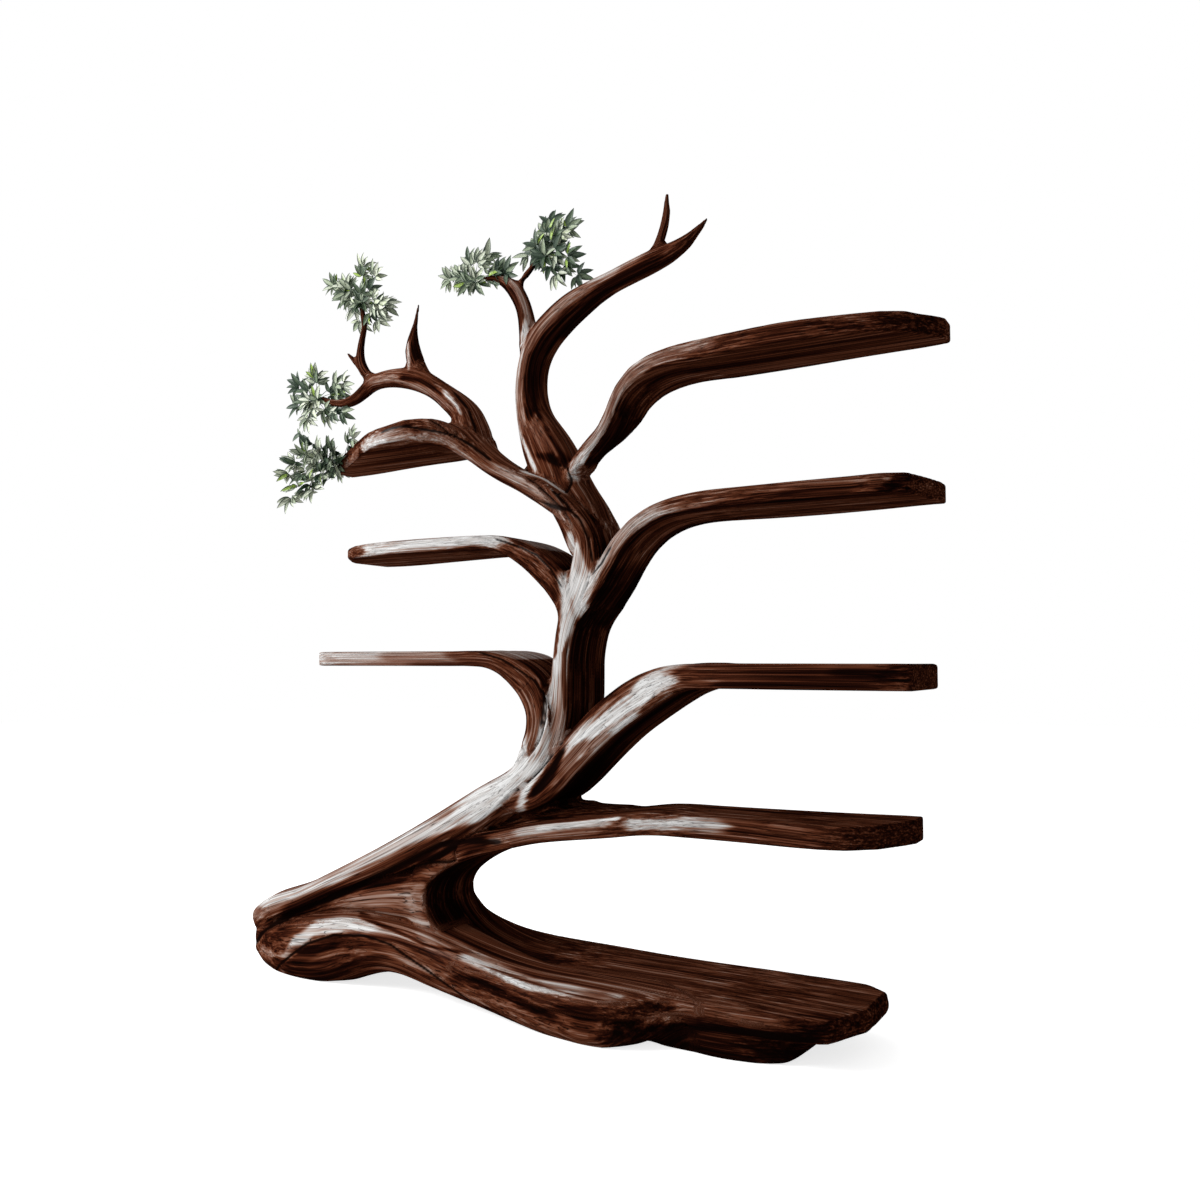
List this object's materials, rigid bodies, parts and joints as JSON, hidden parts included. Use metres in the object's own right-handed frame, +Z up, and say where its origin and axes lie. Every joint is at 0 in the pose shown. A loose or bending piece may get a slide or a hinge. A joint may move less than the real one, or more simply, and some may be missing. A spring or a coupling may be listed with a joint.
{
  "type": "live edge bookshelf",
  "caption": "Free standing bookshelf carved as a leaning tree, with bent live edge boards growing from the trunk as shelves and small leaf sprays on its twigs.",
  "frame": {"origin": "under the middle of the bounding box, at the floor", "axes": "+Z up, +X to the right along the shelves, +Y to the back, towards the wall"},
  "size_m": [1.7998, 0.4004, 1.8563],
  "materials": {
    "walnut": "oiled dark reddish hardwood board",
    "dark_walnut": "oiled dark reddish hardwood, carved",
    "beech": "plain light hardwood dowel",
    "leaf_green": "grey green artificial leaves on wire"
  },
  "bodies": {
    "root": {"arm_left_1": "dark_walnut", "arm_left_2": "dark_walnut", "arm_right_2": "dark_walnut", "arm_right_3": "dark_walnut", "arm_right_4": "dark_walnut", "base_foot": "dark_walnut", "base_slab": "dark_walnut", "bough": "dark_walnut", "bough_spike": "dark_walnut", "crown": "dark_walnut", "crown_branch_left": "dark_walnut", "crown_branch_right": "dark_walnut", "crown_spike": "dark_walnut", "crown_twig": "dark_walnut", "dowel_base_back": "beech", "dowel_base_front": "beech", "dowel_crown": "beech", "dowel_foot_back": "beech", "dowel_foot_front": "beech", "dowel_left_1_back": "beech", "dowel_left_1_front": "beech", "dowel_left_2_back": "beech", "dowel_left_2_front": "beech", "dowel_left_3_back": "beech", "dowel_left_3_front": "beech", "dowel_right_1_back": "beech", "dowel_right_1_front": "beech", "dowel_right_2_back": "beech", "dowel_right_2_front": "beech", "dowel_right_3_back": "beech", "dowel_right_3_front": "beech", "dowel_right_4_back": "beech", "dowel_right_4_front": "beech", "dowel_trunk_back": "beech", "dowel_trunk_front": "beech", "leaf_spray_crown": "leaf_green", "leaf_spray_crown_left": "leaf_green", "leaf_spray_left": "leaf_green", "leaf_spray_left_top": "leaf_green", "leaf_spray_shelf": "leaf_green", "limb_left_3": "dark_walnut", "root_base": "dark_walnut", "shelf_left_1": "walnut", "shelf_left_2": "walnut", "shelf_left_3": "walnut", "shelf_right_1": "walnut", "shelf_right_2": "walnut", "shelf_right_3": "walnut", "shelf_right_4": "walnut", "tenon_left_1": "beech", "tenon_left_2": "beech", "tenon_left_3": "beech", "tenon_right_2": "beech", "tenon_right_3": "beech", "tenon_right_4": "beech", "trunk_upper": "dark_walnut", "twig_left": "dark_walnut", "twig_upright": "dark_walnut"}
  },
  "joints": []
}
